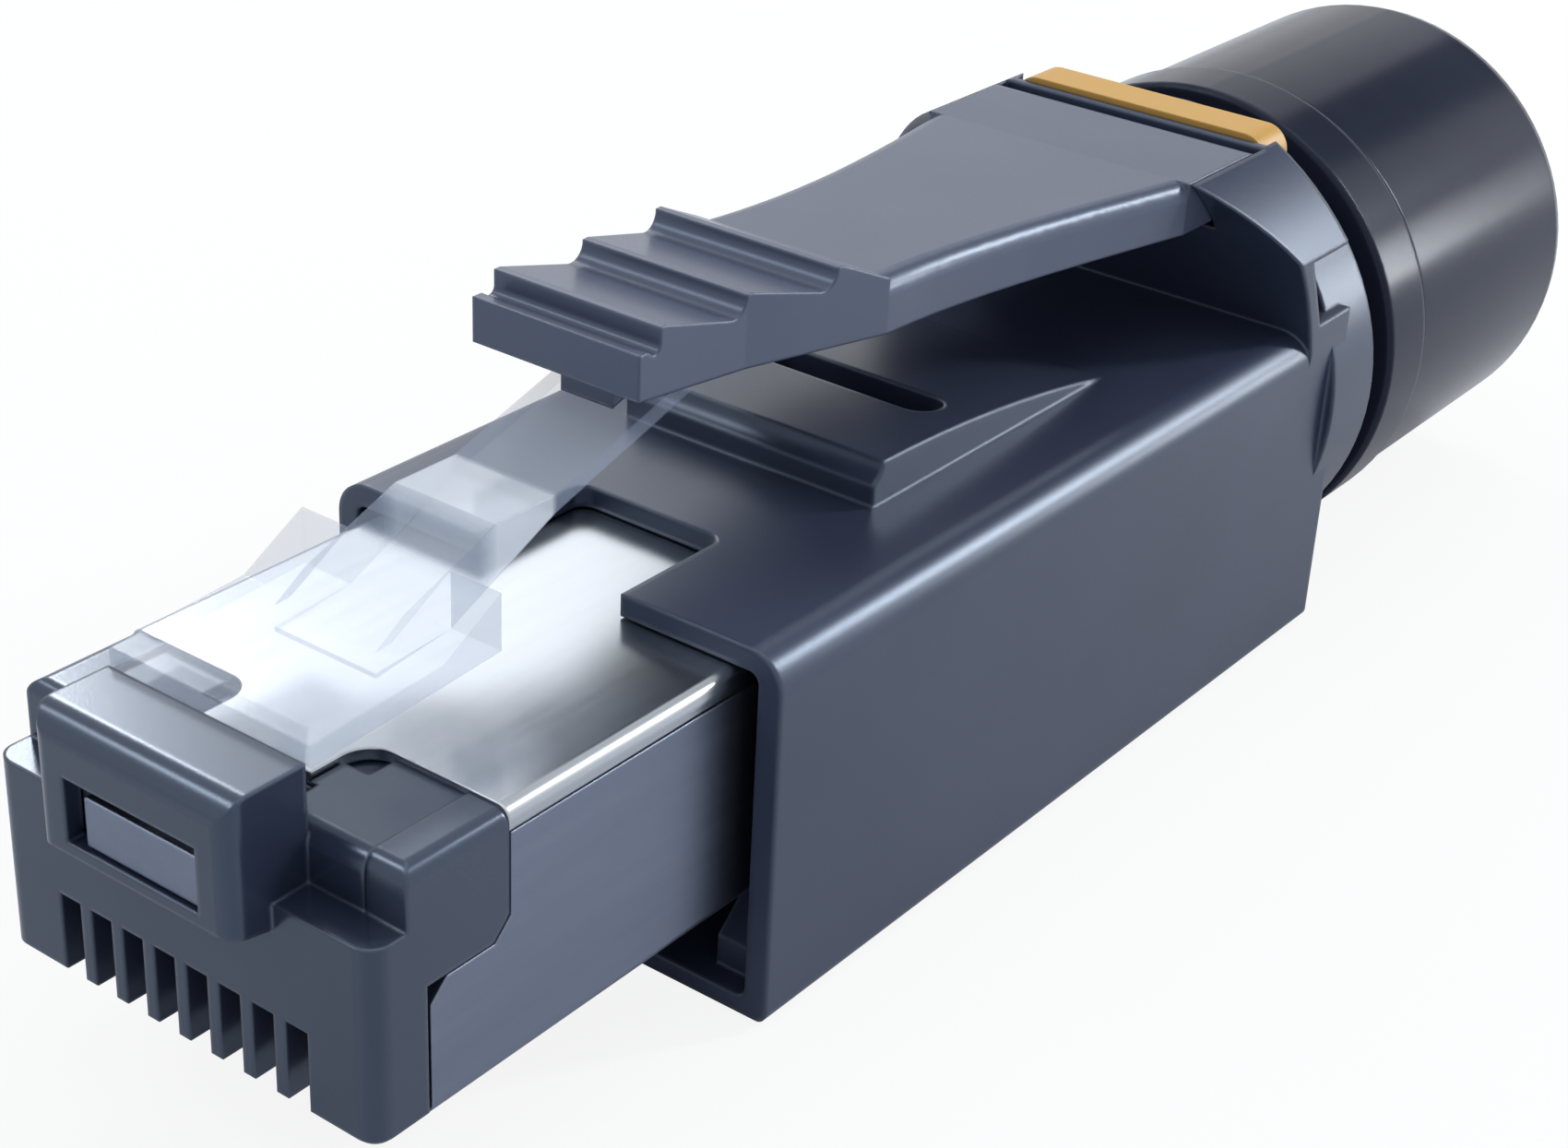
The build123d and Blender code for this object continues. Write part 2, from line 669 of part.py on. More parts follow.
# Housing: sleeve, raised deck, collar with the lever's seat, and round neck, moulded in one
with BuildPart() as housing:
    # Collar, round about the cable axis, flat on top and at the sides, hollowed like a hood in front
    collar_foot = (housing_rear - collar_foot_length, axis_height + collar_foot_rise)
    with BuildSketch(side):
        with BuildLine():
            Polyline(
                (collar_front, collar_top), (collar_rear, collar_top),
                (collar_rear, axis_height + collar_window_high),
                (housing_rear, axis_height + collar_window_low),
                (housing_rear, axis_height), (collar_foot[0], axis_height), collar_foot)
            SagittaArc(collar_foot, (collar_front, collar_top), -collar_hollow)
        make_face()
    extrude(amount=half_housing, both=True)
    with BuildSketch(face.offset(-collar_front)):
        with Locations((0, axis_height)):
            Circle(collar_radius)
    extrude(amount=-(housing_rear - collar_front), mode=Mode.INTERSECT)
    # Collar windows, open to the back
    window_front = housing_rear - collar_window_front
    for hand in (-1, 1):
        with BuildSketch(side.offset(hand * half_housing)):
            with BuildLine():
                Polyline(
                    (window_front, axis_height + collar_window_high),
                    (housing_rear, axis_height + collar_window_high),
                    (housing_rear, axis_height + collar_window_low),
                    (window_front + collar_window_lean, axis_height + collar_window_low), close=True)
            make_face()
        extrude(amount=-hand * collar_window_depth, mode=Mode.SUBTRACT)
    # Sleeve
    with BuildSketch(face.offset(-housing_front)):
        with Locations((0, housing_floor)):
            Rectangle(housing_width, housing_height, align=(Align.CENTER, Align.MIN))
        fillet(vertices().group_by(Axis.Y)[-1], housing_edge_radius)
        fillet(vertices().group_by(Axis.Y)[0], housing_foot_radius)
    extrude(amount=-housing_length)
    # Raised deck
    with BuildSketch(side):
        with BuildLine():
            ledge = (raised_front, housing_top + raised_ledge)
            crest = (raised_front + raised_hollow, housing_top + raised_rise)
            Polyline(
                (raised_rear, housing_top), (raised_rear, housing_top - raised_ledge),
                (raised_front, housing_top - raised_ledge), ledge)
            SagittaArc(ledge, crest, -raised_hollow_depth)
            SagittaArc(crest, (raised_rear, housing_top), raised_bulge)
        make_face()
    extrude(amount=raised_width / 2, both=True)
    # Neck behind the collar
    with BuildSketch(axial):
        with Locations((collar_rear, 0)):
            Rectangle(neck_rear - collar_rear, neck_radius, align=Align.MIN)
        chamfer(vertices().group_by(Axis.Y)[-1].sort_by(Axis.X)[-1], neck_chamfer)
    revolve(axis=cable_axis)
    # Cavity for the insert
    cavity_top = shield_top + cavity_clearance
    with BuildSketch(face.offset(-housing_front)):
        with Locations((0, housing_floor + floor_wall)):
            Rectangle(
                housing_width - 2 * side_wall, cavity_top - housing_floor - floor_wall,
                align=(Align.CENTER, Align.MIN))
        fillet(vertices(), housing_foot_radius)
    extrude(amount=-cavity_length, mode=Mode.SUBTRACT)
    # Rails under the insert, with a lead-in ramp
    rail_start = housing_front + rail_ramp_front
    rail_top = -cavity_clearance
    for hand in (-1, 1):
        with BuildSketch(side.offset(hand * (half_housing - side_wall / 2))):
            with BuildLine():
                Polyline(
                    (rail_start, housing_floor + floor_wall / 2), (rail_start, rail_top - rail_ramp_height),
                    (rail_start + rail_ramp_length, rail_top),
                    (housing_front + cavity_length + side_wall, rail_top),
                    (housing_front + cavity_length + side_wall, housing_floor + floor_wall / 2), close=True)
            make_face()
        extrude(amount=-hand * (rail_width + side_wall / 2))
    # Cable tunnel, and the bore of the gland's spigot
    spigot_front = neck_rear - spigot_length
    with BuildSketch(face.offset(-(housing_front + cavity_length - side_wall))):
        with Locations((0, axis_height)):
            Circle(tunnel_radius)
        with Locations((0, cavity_top)):
            Rectangle(housing_width, housing_height, align=(Align.CENTER, Align.MAX), mode=Mode.INTERSECT)
    extrude(amount=-(spigot_front - housing_front - cavity_length + side_wall), mode=Mode.SUBTRACT)
    with BuildSketch(face.offset(-neck_rear)):
        with Locations((0, axis_height)):
            Circle(spigot_radius + spigot_clearance)
    extrude(amount=spigot_length + fit_gap, mode=Mode.SUBTRACT)
    # Notch over the latch's tail, and the slot across the deck
    with BuildSketch(plan.offset(shield_top - sheet)):
        with Locations((0, housing_front)):
            Rectangle(u_notch_width, 2 * u_notch_length)
        fillet(vertices().group_by(Axis.Y)[-1], u_notch_radius)
    extrude(amount=housing_height, mode=Mode.SUBTRACT)
    with BuildSketch(plan.offset(shield_top - sheet)):
        with Locations((0, raised_front + raised_slot_setback)):
            SlotOverall(raised_slot_length, raised_slot_width)
    extrude(amount=housing_top + 2 * raised_rise - shield_top, mode=Mode.SUBTRACT)
    # Seat of the lever: a knuckle socket that opens forward, deep enough for the lever's stroke
    seat_reach = lever_axis_y - collar_front + seat_radius
    with BuildSketch(side):
        with BuildLine():
            Polyline(
                (lever_axis_y, lever_axis_z - seat_radius), (lever_axis_y, collar_top + seat_radius),
                (lever_axis_y - seat_reach, collar_top + seat_radius),
                (lever_axis_y - seat_reach,
                 lever_axis_z - seat_radius - seat_reach * tan(radians(lever_press_angle + 1))),
                close=True)
        make_face()
        with Locations((lever_axis_y, lever_axis_z)):
            Circle(seat_radius)
        with Locations((lever_axis_y, lever_axis_z)):
            Rectangle(seat_radius, 2 * seat_radius, align=(Align.MIN, Align.MIN))
    extrude(amount=root_half + lever_clearance, both=True, mode=Mode.SUBTRACT)
    # Step under the colour clip, and the holes in the neck for its legs
    with BuildSketch(side):
        with Locations((clip_front - fit_gap, clip_bottom - fit_gap)):
            Rectangle(clip_lap + 2 * fit_gap, clip_proud + clip_thickness, align=Align.MIN)
    extrude(amount=clip_half + fit_gap, both=True, mode=Mode.SUBTRACT)
    with BuildSketch(plan.offset(collar_top)):
        with Locations((-clip_leg_x, clip_leg_y), (clip_leg_x, clip_leg_y)):
            Rectangle(clip_thickness + 2 * fit_gap, clip_leg_width + 2 * fit_gap)
    extrude(amount=clip_leg_end - fit_gap - collar_top, mode=Mode.SUBTRACT)
housing.part.label = "housing"

# Release lever: ribbed head, waisted neck and a knuckle that turns in the collar
lever_bottom = latch_tail_z + lever_stand
lip_top = lever_bottom + lever_front_height
crease_z = lever_bottom + lever_crease_height
head_corners = [
    ((lever_front, lever_bottom), 0), ((lever_front, lip_top), 0),
    ((lever_front + lever_lip_length, lip_top), 0),
    ((lever_front + rib_setback, lip_top - lever_groove_depth), lever_groove_radius)]
for rib in range(rib_count):
    rib_y = lever_front + rib_setback + rib * rib_pitch
    rib_top = lever_bottom + rib_first_height - rib * rib_fall
    if rib > 0:
        head_corners.append(((rib_y, rib_top - rib_height), rib_foot_radius))
    head_corners.append(((rib_y, rib_top), 0))
    head_corners.append(((rib_y + rib_land, rib_top), 0))
head_corners.append(((lever_neck_front, crease_z), 0))
head_corners.append(((lever_neck_front, crease_z - lever_thickness), 0))

with BuildPart() as release_lever:
    with BuildSketch(side):
        with BuildLine():
            FilletPolyline(
                *[corner for corner, radius in head_corners],
                radius=[radius for corner, radius in head_corners], close=True)
        make_face()
    extrude(amount=lever_neck_width / 2, both=True)
    with BuildSketch(plan.offset(crease_z - lever_thickness)):
        with BuildLine():
            Polyline(
                (-lever_head_width / 2, lever_front), (lever_head_width / 2, lever_front),
                (lever_head_width / 2, lever_front + rib_setback + rib_pitch),
                (lever_neck_width / 2, lever_neck_front), (-lever_neck_width / 2, lever_neck_front),
                (-lever_head_width / 2, lever_front + rib_setback + rib_pitch), close=True)
        make_face()
    extrude(amount=lever_neck_width, mode=Mode.INTERSECT)
    # Neck, lofted from the head through the waist and the flare to the root, its upper edges rounded
    neck_sections = (
        (lever_neck_front, lever_neck_width, crease_z),
        (lever_neck_front + lever_waist_setback, lever_waist_width, collar_top + lever_waist_rise),
        (collar_front - lever_flare_setback, lever_flare_width, collar_top + lever_flare_rise),
        (collar_front, 2 * root_half, collar_top),
    )
    for station, width, top in neck_sections:
        with BuildSketch(face.offset(-station)):
            with Locations((0, top)):
                Rectangle(width, lever_thickness, align=(Align.CENTER, Align.MAX))
            fillet(vertices().group_by(Axis.Y)[-1], lever_edge_radius)
    loft()
    # Root plate with its knuckle
    with BuildSketch(side):
        with Locations((collar_front, collar_top)):
            Rectangle(lever_axis_y - collar_front, lever_thickness, align=(Align.MIN, Align.MAX))
        with Locations((lever_axis_y, lever_axis_z)):
            Circle(knuckle_radius)
    extrude(amount=root_half, both=True)
    # Finger that bears on the latch's tail
    with BuildSketch(side):
        with BuildLine():
            finger_front = lever_front + lever_finger_setback
            finger_rear = finger_front + lever_finger_length
            Polyline(
                (finger_front, tail_top(finger_front) + lever_finger_gap),
                (finger_rear, tail_top(finger_rear) + lever_finger_gap),
                (finger_rear, lever_bottom + lever_crease_height),
                (finger_front, lever_bottom + lever_crease_height), close=True)
        make_face()
    extrude(amount=lever_finger_width / 2, both=True)
release_lever.part.label = "release_lever"

# Colour clip: strip over the collar's rear edge, its ends bent down into legs held in the neck
with BuildPart() as colour_clip:
    strip_z = clip_bottom + clip_thickness / 2
    with BuildSketch(face.offset(-clip_front)):
        with BuildLine():
            FilletPolyline(
                (-clip_leg_x, strip_z - clip_bend_radius), (-clip_leg_x, strip_z), (clip_leg_x, strip_z),
                (clip_leg_x, strip_z - clip_bend_radius), radius=clip_bend_radius - fit_gap)
            offset(amount=clip_thickness / 2, side=Side.BOTH)
        make_face()
    extrude(amount=-clip_width)
    # The bent ends are narrowed to the legs, which stand behind the collar
    with BuildSketch(side):
        with Locations((clip_front, clip_bottom)):
            Rectangle(collar_rear + fit_gap - clip_front, clip_bend_radius, align=(Align.MIN, Align.MAX))
    extrude(amount=clip_half, both=True, mode=Mode.SUBTRACT)
    for hand in (-1, 1):
        with BuildSketch(plan.offset(clip_leg_end)):
            with Locations((hand * clip_leg_x, clip_leg_y)):
                Rectangle(clip_thickness, clip_leg_width)
        extrude(amount=strip_z - clip_bend_radius / 2 - clip_leg_end)
colour_clip.part.label = "colour_clip"

# Seal ring in the groove between neck and gland
with BuildPart() as seal_ring:
    with BuildSketch(axial):
        with Locations((neck_rear + seal_gap / 2, spigot_radius + fit_gap)):
            Rectangle(seal_section, seal_section, align=(Align.CENTER, Align.MIN))
    revolve(axis=cable_axis)
seal_ring.part.label = "seal_ring"

# Gland body: spigot in the collar, outer ring, and threaded sleeve under the nut
thread_rear = ring_rear + thread_length
pocket_front = ring_rear + seal_pocket_wall
with BuildPart() as gland_body:
    with BuildSketch(axial):
        with Locations((spigot_front, 0)):
            Rectangle(ring_front - spigot_front, spigot_radius, align=Align.MIN)
        with Locations((ring_front, 0)):
            Rectangle(ring_length, ring_radius, align=Align.MIN)
            chamfer(vertices().group_by(Axis.Y)[-1], ring_chamfer)
        with Locations((ring_rear, 0)):
            Rectangle(thread_length, thread_radius, align=Align.MIN)
        with Locations((spigot_front, 0)):
            Rectangle(thread_rear - spigot_front, cable_bore, align=Align.MIN, mode=Mode.SUBTRACT)
        with Locations((pocket_front, 0)):
            Rectangle(thread_rear - pocket_front, seal_pocket_radius, align=Align.MIN, mode=Mode.SUBTRACT)
    revolve(axis=cable_axis)
gland_body.part.label = "gland_body"

# Cable seal: rubber sleeve in the body's pocket, with a lip round each end of its bore
with BuildPart() as cable_seal:
    with BuildSketch(axial):
        with Locations((pocket_front + fit_gap, cable_bore)):
            Rectangle(seal_length, seal_pocket_radius - fit_gap - cable_bore, align=Align.MIN)
        with Locations((pocket_front + fit_gap + seal_length / 2, cable_bore)):
            Rectangle(
                seal_lip_groove, seal_lip_height, align=(Align.CENTER, Align.MIN), mode=Mode.SUBTRACT)
    revolve(axis=cable_axis)
cable_seal.part.label = "cable_seal"

# Clamp cage: ring in the pocket, flange on the sleeve's end, and fingers round the cable
cage_front = pocket_front + seal_length + 2 * fit_gap
flange_front = thread_rear + fit_gap
flange_rear = flange_front + cage_flange
fingers_rear = flange_rear + cage_finger_length
with BuildPart() as clamp_cage:
    with BuildSketch(axial):
        with Locations((cage_front, 0)):
            Rectangle(flange_front - cage_front, seal_pocket_radius - fit_gap, align=Align.MIN)
        with Locations((flange_front, 0)):
            Rectangle(cage_flange, cage_flange_radius, align=Align.MIN)
        with Locations((flange_rear, 0)):
            Rectangle(cage_finger_length, cage_bore + cage_finger_wall, align=Align.MIN)
        with Locations((cage_front, 0)):
            Rectangle(fingers_rear - cage_front, cage_bore, align=Align.MIN, mode=Mode.SUBTRACT)
    revolve(axis=cable_axis)
    with BuildSketch(face.offset(-(flange_front + cage_flange / 2))):
        with Locations((0, axis_height)):
            with PolarLocations(cage_bore, cage_finger_count):
                Rectangle(2 * cage_finger_wall + cage_flange_radius - cage_bore, cage_slit)
    extrude(amount=-(fingers_rear - flange_front), mode=Mode.SUBTRACT)
clamp_cage.part.label = "clamp_cage"

# Thrust ring: slip washer between the cage's fingers and the nut's end wall
with BuildPart() as thrust_ring:
    with BuildSketch(axial):
        with Locations((nut_rear - nut_end_wall - fit_gap - thrust_length, cage_bore)):
            Rectangle(thrust_length, cage_flange_radius - cage_bore, align=Align.MIN)
    revolve(axis=cable_axis)
thrust_ring.part.label = "thrust_ring"

# Nut: smooth cap, bored for the cable, its back rounded in three facets
nut_back_mid = nut_back_round / 2
nut_back_lead = nut_back_round * (1 - sqrt(3) / 2)
with BuildPart() as gland_nut:
    with BuildSketch(axial):
        with BuildLine():
            Polyline(
                (nut_front, 0), (nut_front, nut_radius), (nut_rear - nut_back_round, nut_radius),
                (nut_rear - nut_back_mid, nut_radius - nut_back_lead),
                (nut_rear - nut_back_lead, nut_radius - nut_back_mid),
                (nut_rear, nut_radius - nut_back_round), (nut_rear, 0), close=True)
        make_face()
        with Locations((nut_front, 0)):
            Rectangle(
                nut_length - nut_end_wall, thread_radius + thread_clearance, align=Align.MIN,
                mode=Mode.SUBTRACT)
        with Locations((nut_front, 0)):
            Rectangle(nut_length, cable_bore, align=Align.MIN, mode=Mode.SUBTRACT)
    revolve(axis=cable_axis)
    rear_edges = edges().filter_by(GeomType.CIRCLE).group_by(Axis.Y)[-1]
    chamfer(rear_edges.sort_by(SortBy.RADIUS)[0], cable_mouth_chamfer)
gland_nut.part.label = "gland_nut"

os.makedirs("parts", exist_ok=True)
pieces = [
    contact_carrier, key_plate, upper_shield, lower_shield, terminal_block, shield_spring, latch, housing,
    release_lever, colour_clip, seal_ring, gland_body, cable_seal, clamp_cage, thrust_ring, gland_nut,
]
for piece in pieces + contacts + wire_caps:
    export_step(piece.part, f"parts/{piece.part.label}.step")
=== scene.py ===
from math import radians
import bmesh
import bpy
from mathutils import Matrix, Vector


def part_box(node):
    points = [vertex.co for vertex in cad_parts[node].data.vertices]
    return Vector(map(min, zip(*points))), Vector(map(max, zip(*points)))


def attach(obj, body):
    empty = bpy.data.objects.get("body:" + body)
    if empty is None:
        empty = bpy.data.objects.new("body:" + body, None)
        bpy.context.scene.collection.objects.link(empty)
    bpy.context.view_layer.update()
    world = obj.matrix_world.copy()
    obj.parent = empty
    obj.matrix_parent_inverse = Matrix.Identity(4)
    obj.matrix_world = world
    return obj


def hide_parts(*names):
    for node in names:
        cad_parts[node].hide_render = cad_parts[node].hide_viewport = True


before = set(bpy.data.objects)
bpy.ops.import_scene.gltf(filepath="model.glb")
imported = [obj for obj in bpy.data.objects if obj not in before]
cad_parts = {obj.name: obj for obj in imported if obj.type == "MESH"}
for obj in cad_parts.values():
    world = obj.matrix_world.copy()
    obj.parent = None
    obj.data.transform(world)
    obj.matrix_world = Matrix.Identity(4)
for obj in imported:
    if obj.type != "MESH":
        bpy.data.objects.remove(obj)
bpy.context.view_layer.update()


# Contact carrier: the nose with its eight slots, key block and shoulders, injection-moulded in one
# from black glass-filled polyamide. The mould is spark-eroded, so the skin is finely pitted, and
# its edges are painted a little lighter, partly as handling wear and partly as painted highlight.
def dress(node_names, finish):
    for node_name in node_names:
        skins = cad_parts[node_name].data.materials
        skins.clear()
        skins.append(finish)


def round_edges(skin, radius):
    edge = skin.node_tree.nodes.new("ShaderNodeBevel")
    edge.samples = 8
    edge.inputs["Radius"].default_value = radius
    return edge.outputs["Normal"]


def black_polyamide(name, low, high, grain, pit_depth, roughness, edge_radius, gloss_level):
    # Lengths are in metres, and a grain or scale counts the cells of its noise in a metre
    cool_gloss = (0.62, 0.78, 1.0, 1)
    cloud_scale, mould_detail = 170.0, 3.0
    low_at, high_at = 0.3, 0.72
    rubbed_and_highlight_tone = (0.11, 0.125, 0.165, 1)
    rub_and_highlight_starts, rub_and_highlight_full, rub_and_highlight_share = 0.995, 0.82, 0.3
    gloss_spread = 0.05
    pit_strength = 0.15
    skin = bpy.data.materials.new(name)
    skin.use_nodes = True
    nodes, links = skin.node_tree.nodes, skin.node_tree.links
    shader = nodes["Principled BSDF"]
    shader.inputs["Specular IOR Level"].default_value = gloss_level
    shader.inputs["Specular Tint"].default_value = cool_gloss
    place = nodes.new("ShaderNodeTexCoord")
    # Soft clouds of tone from the flow of the glass filling
    clouds = nodes.new("ShaderNodeTexNoise")
    clouds.inputs["Scale"].default_value = cloud_scale
    clouds.inputs["Detail"].default_value = mould_detail
    links.new(place.outputs["Object"], clouds.inputs["Vector"])
    tone = nodes.new("ShaderNodeValToRGB")
    tone.color_ramp.elements[0].position = low_at
    tone.color_ramp.elements[0].color = low
    tone.color_ramp.elements[1].position = high_at
    tone.color_ramp.elements[1].color = high
    links.new(clouds.outputs["Fac"], tone.inputs["Fac"])
    # Lighter edges, partly rubbed wear and partly painted highlight: where the rounded normal leaves the
    # face's own normal
    rounded = round_edges(skin, edge_radius)
    facing = nodes.new("ShaderNodeNewGeometry")
    turn = nodes.new("ShaderNodeVectorMath")
    turn.operation = "DOT_PRODUCT"
    links.new(rounded, turn.inputs[0])
    links.new(facing.outputs["Normal"], turn.inputs[1])
    rub_and_highlight = nodes.new("ShaderNodeMapRange")
    rub_and_highlight.inputs["From Min"].default_value = rub_and_highlight_starts
    rub_and_highlight.inputs["From Max"].default_value = rub_and_highlight_full
    rub_and_highlight.inputs["To Max"].default_value = rub_and_highlight_share
    links.new(turn.outputs["Value"], rub_and_highlight.inputs["Value"])
    blend = nodes.new("ShaderNodeMix")
    blend.data_type = "RGBA"
    links.new(rub_and_highlight.outputs["Result"], blend.inputs["Factor"])
    links.new(tone.outputs["Color"], blend.inputs["A"])
    blend.inputs["B"].default_value = rubbed_and_highlight_tone
    links.new(blend.outputs["Result"], shader.inputs["Base Color"])
    # Pits of the eroded mould
    pits = nodes.new("ShaderNodeTexNoise")
    pits.inputs["Scale"].default_value = grain
    pits.inputs["Detail"].default_value = mould_detail
    links.new(place.outputs["Object"], pits.inputs["Vector"])
    gloss = nodes.new("ShaderNodeMapRange")
    gloss.inputs["To Min"].default_value = roughness - gloss_spread
    gloss.inputs["To Max"].default_value = roughness + gloss_spread
    links.new(pits.outputs["Fac"], gloss.inputs["Value"])
    links.new(gloss.outputs["Result"], shader.inputs["Roughness"])
    bump = nodes.new("ShaderNodeBump")
    bump.inputs["Strength"].default_value = pit_strength
    bump.inputs["Distance"].default_value = pit_depth
    links.new(pits.outputs["Fac"], bump.inputs["Height"])
    links.new(rounded, bump.inputs["Normal"])
    links.new(bump.outputs["Normal"], shader.inputs["Normal"])
    return skin


dress(["contact_carrier"], black_polyamide(
    "black_nose_polyamide", low=(0.017, 0.022, 0.041, 1), high=(0.023, 0.030, 0.054, 1),
    grain=16000.0, pit_depth=0.000006, roughness=0.22, edge_radius=0.00014, gloss_level=0.8))


# Contacts: eight blades stamped from bronze strip and gold plated, one pressed into each slot of
# the carrier. The plating follows the strip below it, so its tone and gloss vary a little.
def fine_skin(name, low, high, grain, smooth, rough):
    skin = bpy.data.materials.new(name)
    skin.use_nodes = True
    nodes, links = skin.node_tree.nodes, skin.node_tree.links
    shader = nodes["Principled BSDF"]
    place = nodes.new("ShaderNodeTexCoord")
    speckle = nodes.new("ShaderNodeTexNoise")
    speckle.inputs["Scale"].default_value = grain
    links.new(place.outputs["Object"], speckle.inputs["Vector"])
    tone = nodes.new("ShaderNodeValToRGB")
    tone.color_ramp.elements[0].color = low
    tone.color_ramp.elements[1].color = high
    links.new(speckle.outputs["Fac"], tone.inputs["Fac"])
    links.new(tone.outputs["Color"], shader.inputs["Base Color"])
    gloss = nodes.new("ShaderNodeMapRange")
    gloss.inputs["To Min"].default_value = smooth
    gloss.inputs["To Max"].default_value = rough
    links.new(speckle.outputs["Fac"], gloss.inputs["Value"])
    links.new(gloss.outputs["Result"], shader.inputs["Roughness"])
    return skin


gold = fine_skin(
    "gold_plated_bronze", low=(0.74, 0.47, 0.16, 1), high=(0.86, 0.58, 0.23, 1),
    grain=4000.0, smooth=0.18, rough=0.34)
gold.node_tree.nodes["Principled BSDF"].inputs["Metallic"].default_value = 1.0
dress([f"contact_{number}" for number in range(1, 9)], gold)


# Terminal block and wire caps: moulded from grey glass-filled plastic. The block stands behind the
# carrier with the blades' forks in it, and the two caps snap on and press the wires into the forks.
dress(["terminal_block", "wire_cap_upper", "wire_cap_lower"], fine_skin(
    "grey_glass_filled_plastic", low=(0.20, 0.21, 0.22, 1), high=(0.27, 0.28, 0.29, 1),
    grain=3500.0, smooth=0.45, rough=0.55))


# Shields and braid spring: folded from nickel-plated sheet, with the rolling marks along the plug.
# The top sheet is bright, and the trough round the insert and the spring behind it take a satin
# copy of the sheet painted darker and bluer, a painted reflection of darker surroundings.
def folded_sheet(name, low, high, roughness):
    mark_scale, mark_detail = 2500.0, 3.0
    mark_stretch = (1.0, 0.05, 1.0)
    low_at, high_at = 0.3, 0.7
    gloss_spread = 0.03
    fold_rounding = 0.00008
    skin = bpy.data.materials.new(name)
    skin.use_nodes = True
    nodes, links = skin.node_tree.nodes, skin.node_tree.links
    shader = nodes["Principled BSDF"]
    shader.inputs["Metallic"].default_value = 1.0
    place = nodes.new("ShaderNodeTexCoord")
    stretch = nodes.new("ShaderNodeMapping")
    stretch.inputs["Scale"].default_value = mark_stretch
    links.new(place.outputs["Object"], stretch.inputs["Vector"])
    rolled = nodes.new("ShaderNodeTexNoise")
    rolled.inputs["Scale"].default_value = mark_scale
    rolled.inputs["Detail"].default_value = mark_detail
    links.new(stretch.outputs["Vector"], rolled.inputs["Vector"])
    tone = nodes.new("ShaderNodeValToRGB")
    tone.color_ramp.elements[0].position = low_at
    tone.color_ramp.elements[0].color = low
    tone.color_ramp.elements[1].position = high_at
    tone.color_ramp.elements[1].color = high
    links.new(rolled.outputs["Fac"], tone.inputs["Fac"])
    links.new(tone.outputs["Color"], shader.inputs["Base Color"])
    gloss = nodes.new("ShaderNodeMapRange")
    gloss.inputs["To Min"].default_value = roughness - gloss_spread
    gloss.inputs["To Max"].default_value = roughness + gloss_spread
    links.new(rolled.outputs["Fac"], gloss.inputs["Value"])
    links.new(gloss.outputs["Result"], shader.inputs["Roughness"])
    links.new(round_edges(skin, fold_rounding), shader.inputs["Normal"])
    return skin


dress(["upper_shield"], folded_sheet(
    "bright_nickel_sheet", low=(0.385, 0.415, 0.455, 1), high=(0.42, 0.45, 0.49, 1), roughness=0.23))
satin_nickel_painted_darker = folded_sheet(
    "satin_nickel_painted_darker_sheet", low=(0.170, 0.195, 0.265, 1), high=(0.185, 0.215, 0.285, 1), roughness=0.36)
dress(["lower_shield", "shield_spring"], satin_nickel_painted_darker)


# Key plate: a stamping of the same satin sheet, held by its two ears in grooves of the key block's
# cheeks. The pad that is pressed forward from it stands in the window, almost level with the front.
plate_low, plate_high = (Vector(corner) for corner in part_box("key_plate"))
pad_left, pad_right = -0.00152, 0.00197
pad_rise = 0.00020
pad_reach = 0.00041
pad_rounding = 0.00006
straight_on = 0.9
flat_angle = 0.01
corner_angle = 1.0
plate = bmesh.new()
bmesh.ops.create_cube(plate, size=1.0)
bmesh.ops.scale(plate, vec=plate_high - plate_low, verts=plate.verts)
bmesh.ops.translate(plate, vec=(plate_high + plate_low) / 2, verts=plate.verts)
for cut in (pad_left, pad_right):
    whole = plate.verts[:] + plate.edges[:] + plate.faces[:]
    bmesh.ops.bisect_plane(plate, geom=whole, plane_co=(cut, 0, 0), plane_no=(1, 0, 0))
for facing, reach in ((Vector((0, 0, 1)), pad_rise), (Vector((0, -1, 0)), pad_reach)):
    plate.normal_update()
    pressed = [
        face for face in plate.faces
        if face.normal.dot(facing) > straight_on and pad_left < face.calc_center_median().x < pad_right]
    pad = bmesh.ops.extrude_face_region(plate, geom=pressed)["geom"]
    pad_corners = [part for part in pad if isinstance(part, bmesh.types.BMVert)]
    bmesh.ops.translate(plate, vec=facing * reach, verts=pad_corners)
plate.normal_update()
bmesh.ops.dissolve_limit(plate, angle_limit=flat_angle, verts=plate.verts[:], edges=plate.edges[:])
plate.normal_update()
sharp = [edge for edge in plate.edges if edge.is_manifold and edge.calc_face_angle() > corner_angle]
bmesh.ops.bevel(
    plate, geom=sharp, offset=pad_rounding, affect="EDGES", segments=3, profile=0.5, material=-1)
plate_mesh = bpy.data.meshes.new("window_plate")
plate.to_mesh(plate_mesh)
plate.free()
# The plate takes the satin copy of the sheet that is painted darker as a painted reflection.
plate_mesh.materials.append(satin_nickel_painted_darker)
window_plate = bpy.data.objects.new("window_plate", plate_mesh)
bpy.context.collection.objects.link(window_plate)
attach(window_plate, "plug")
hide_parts("key_plate")


